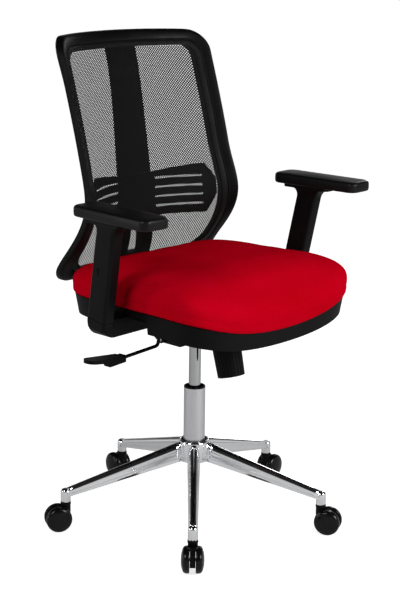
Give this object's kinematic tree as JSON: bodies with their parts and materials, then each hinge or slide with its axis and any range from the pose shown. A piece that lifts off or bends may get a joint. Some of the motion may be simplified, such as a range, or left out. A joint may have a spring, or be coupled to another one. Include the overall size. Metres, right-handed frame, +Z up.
{
  "type": "swivel office chair",
  "caption": "Swivel office chair: red padded seat, black mesh back with lumbar support, T-shaped armrests, gas lift and chromed star base on twin-wheel casters.",
  "frame": {"origin": "on the floor, on the vertical axis of the gas lift", "axes": "+X is the sitter's left, -Y is the front of the chair, +Z is up"},
  "size_m": [0.7316, 0.6836, 1.118],
  "materials": {
    "chromed_steel": "mirror-polished chrome plate",
    "satin_steel": "satin steel tube",
    "bare_steel": "plain steel",
    "black_paint": "black powder coat",
    "black_casting": "die-cast aluminium, powder-coated black",
    "black_plastic": "fine-grained black moulding",
    "black_wheel": "smooth black nylon",
    "black_pad": "soft black polyurethane",
    "plywood": "plain ply",
    "red_cloth": "smooth red upholstery cloth",
    "black_net": "open black knitted net"
  },
  "bodies": {
    "base": {"base_star": "chromed_steel", "hub_collar": "black_plastic", "column_tube": "satin_steel", "column_bushing": "black_plastic"},
    "rod": {"piston_rod": "bare_steel", "thrust_bearing": "bare_steel", "rod_clip": "bare_steel"},
    "column": {"gas_cylinder": "chromed_steel", "mechanism_housing": "black_paint", "main_pivot_pin": "bare_steel", "front_pivot_pin": "bare_steel", "tension_spring": "bare_steel"},
    "valve": {"release_button": "bare_steel"},
    "seat": {"seat_plate": "black_paint", "seat_shell": "black_plastic", "seat_board": "plywood", "seat_cushion": "red_cloth", "seat_screws": "bare_steel", "arm_bracket_left": "black_plastic", "arm_bracket_right": "black_plastic"},
    "back": {"back_frame": "black_plastic", "back_mesh": "black_net", "back_spine": "black_plastic", "back_carrier": "black_casting", "carrier_bolts": "bare_steel"},
    "lumbar": {"lumbar_support": "black_plastic"},
    "knob": {"tension_knob": "black_plastic", "tension_screw": "bare_steel"},
    "lever_pivot": {"lever_block": "bare_steel"},
    "lever": {"lever_rod": "black_paint", "lever_handle": "black_plastic"},
    "armrest_left": {"arm_sleeve_left": "black_plastic", "arm_plate_left": "black_plastic"},
    "pad_left": {"arm_pad_left": "black_pad"},
    "latch_left": {"arm_button_left": "black_plastic"},
    "armrest_right": {"arm_sleeve_right": "black_plastic", "arm_plate_right": "black_plastic"},
    "pad_right": {"arm_pad_right": "black_pad"},
    "latch_right": {"arm_button_right": "black_plastic"},
    "caster_1": {"caster_hood_1": "black_plastic", "caster_stem_and_axle_1": "bare_steel"},
    "wheel_left_1": {"caster_wheel_left_1": "black_wheel"},
    "wheel_right_1": {"caster_wheel_right_1": "black_wheel"},
    "caster_2": {"caster_hood_2": "black_plastic", "caster_stem_and_axle_2": "bare_steel"},
    "wheel_left_2": {"caster_wheel_left_2": "black_wheel"},
    "wheel_right_2": {"caster_wheel_right_2": "black_wheel"},
    "caster_3": {"caster_hood_3": "black_plastic", "caster_stem_and_axle_3": "bare_steel"},
    "wheel_left_3": {"caster_wheel_left_3": "black_wheel"},
    "wheel_right_3": {"caster_wheel_right_3": "black_wheel"},
    "caster_4": {"caster_hood_4": "black_plastic", "caster_stem_and_axle_4": "bare_steel"},
    "wheel_left_4": {"caster_wheel_left_4": "black_wheel"},
    "wheel_right_4": {"caster_wheel_right_4": "black_wheel"},
    "caster_5": {"caster_hood_5": "black_plastic", "caster_stem_and_axle_5": "bare_steel"},
    "wheel_left_5": {"caster_wheel_left_5": "black_wheel"},
    "wheel_right_5": {"caster_wheel_right_5": "black_wheel"}
  },
  "joints": [
    {"name": "seat_swivel", "type": "hinge", "parent": "base", "child": "rod", "pos_m": [0, 0, 0.15], "axis": [0, 0, 1], "continuous": true},
    {"name": "seat_height", "type": "slide", "parent": "rod", "child": "column", "axis": [0, 0, 1], "range_m": [-0.1, 0]},
    {"name": "valve_press", "type": "slide", "parent": "column", "child": "valve", "axis": [0, 0, 1], "range_m": [-0.005, 0], "stiffness_N_per_m": 500},
    {"name": "back_recline", "type": "hinge", "parent": "column", "child": "back", "pos_m": [0, 0.027, 0.4415], "axis": [-1, 0, 0], "range_deg": [0, 18], "stiffness_Nm_per_rad": 60, "springref_deg": -34.38},
    {"name": "seat_tilt", "type": "hinge", "parent": "column", "child": "seat", "pos_m": [0, -0.112, 0.48], "axis": [-1, 0, 0], "range_deg": [0, 7.2]},
    {"name": "lumbar_height", "type": "slide", "parent": "back", "child": "lumbar", "axis": [0, 0.0758, 0.9971], "range_m": [0, 0.02]},
    {"name": "tension_turn", "type": "hinge", "parent": "column", "child": "knob", "pos_m": [0, -0.11482, 0.369], "axis": [0, 0.2419, 0.9703], "continuous": true},
    {"name": "lever_lift", "type": "hinge", "parent": "column", "child": "lever_pivot", "pos_m": [-0.058, 0, 0.474], "axis": [0, 1, 0], "range_deg": [0, 4], "stiffness_Nm_per_rad": 2, "springref_deg": -5.73},
    {"name": "lever_pull", "type": "slide", "parent": "lever_pivot", "child": "lever", "axis": [-1, 0, 0], "range_m": [0, 0.015]},
    {"name": "arm_height_left", "type": "slide", "parent": "seat", "child": "armrest_left", "axis": [0.0411, -0.1908, 0.9808], "range_m": [0, 0.07]},
    {"name": "pad_slide_left", "type": "slide", "parent": "armrest_left", "child": "pad_left", "axis": [0.0523, -0.9986, 0], "range_m": [-0.025, 0.025]},
    {"name": "latch_press_left", "type": "slide", "parent": "armrest_left", "child": "latch_left", "axis": [-0.9991, 0, 0.0419], "range_m": [0, 0.002], "stiffness_N_per_m": 500},
    {"name": "arm_height_right", "type": "slide", "parent": "seat", "child": "armrest_right", "axis": [-0.0411, -0.1908, 0.9808], "range_m": [0, 0.07]},
    {"name": "pad_slide_right", "type": "slide", "parent": "armrest_right", "child": "pad_right", "axis": [-0.0523, -0.9986, 0], "range_m": [-0.025, 0.025]},
    {"name": "latch_press_right", "type": "slide", "parent": "armrest_right", "child": "latch_right", "axis": [0.9991, 0, 0.0419], "range_m": [0, 0.002], "stiffness_N_per_m": 500},
    {"name": "caster_swivel_1", "type": "hinge", "parent": "base", "child": "caster_1", "pos_m": [-0.22156, -0.21396, 0.06], "axis": [0, 0, 1], "continuous": true},
    {"name": "wheel_spin_left_1", "type": "hinge", "parent": "caster_1", "child": "wheel_left_1", "pos_m": [-0.2345, -0.22646, 0.03], "axis": [0.6947, -0.7193, 0], "continuous": true},
    {"name": "wheel_spin_right_1", "type": "hinge", "parent": "caster_1", "child": "wheel_right_1", "pos_m": [-0.2345, -0.22646, 0.03], "axis": [0.6947, -0.7193, 0], "continuous": true},
    {"name": "caster_swivel_2", "type": "hinge", "parent": "base", "child": "caster_2", "pos_m": [0.13502, -0.27683, 0.06], "axis": [0, 0, 1], "continuous": true},
    {"name": "wheel_spin_left_2", "type": "hinge", "parent": "caster_2", "child": "wheel_left_2", "pos_m": [0.14291, -0.29301, 0.03], "axis": [0.8988, 0.4384, 0], "continuous": true},
    {"name": "wheel_spin_right_2", "type": "hinge", "parent": "caster_2", "child": "wheel_right_2", "pos_m": [0.14291, -0.29301, 0.03], "axis": [0.8988, 0.4384, 0], "continuous": true},
    {"name": "caster_swivel_3", "type": "hinge", "parent": "base", "child": "caster_3", "pos_m": [0.305, 0.04287, 0.06], "axis": [0, 0, 1], "continuous": true},
    {"name": "wheel_spin_left_3", "type": "hinge", "parent": "caster_3", "child": "wheel_left_3", "pos_m": [0.32283, 0.04537, 0.03], "axis": [-0.1392, 0.9903, 0], "continuous": true},
    {"name": "wheel_spin_right_3", "type": "hinge", "parent": "caster_3", "child": "wheel_right_3", "pos_m": [0.32283, 0.04537, 0.03], "axis": [-0.1392, 0.9903, 0], "continuous": true},
    {"name": "caster_swivel_4", "type": "hinge", "parent": "base", "child": "caster_4", "pos_m": [0.05348, 0.30332, 0.06], "axis": [0, 0, 1], "continuous": true},
    {"name": "wheel_spin_left_4", "type": "hinge", "parent": "caster_4", "child": "wheel_left_4", "pos_m": [0.05661, 0.32105, 0.03], "axis": [-0.9848, 0.1736, 0], "continuous": true},
    {"name": "wheel_spin_right_4", "type": "hinge", "parent": "caster_4", "child": "wheel_right_4", "pos_m": [0.05661, 0.32105, 0.03], "axis": [-0.9848, 0.1736, 0], "continuous": true},
    {"name": "caster_swivel_5", "type": "hinge", "parent": "base", "child": "caster_5", "pos_m": [-0.27195, 0.1446, 0.06], "axis": [0, 0, 1], "continuous": true},
    {"name": "wheel_spin_left_5", "type": "hinge", "parent": "caster_5", "child": "wheel_left_5", "pos_m": [-0.28784, 0.15305, 0.03], "axis": [-0.4695, -0.8829, 0], "continuous": true},
    {"name": "wheel_spin_right_5", "type": "hinge", "parent": "caster_5", "child": "wheel_right_5", "pos_m": [-0.28784, 0.15305, 0.03], "axis": [-0.4695, -0.8829, 0], "continuous": true}
  ],
  "couplings": [
    {"joint": "seat_tilt", "follows": "back_recline", "ratio": 0.4},
    {"joint": "valve_press", "follows": "lever_lift", "m_per_rad": -0.06}
  ]
}
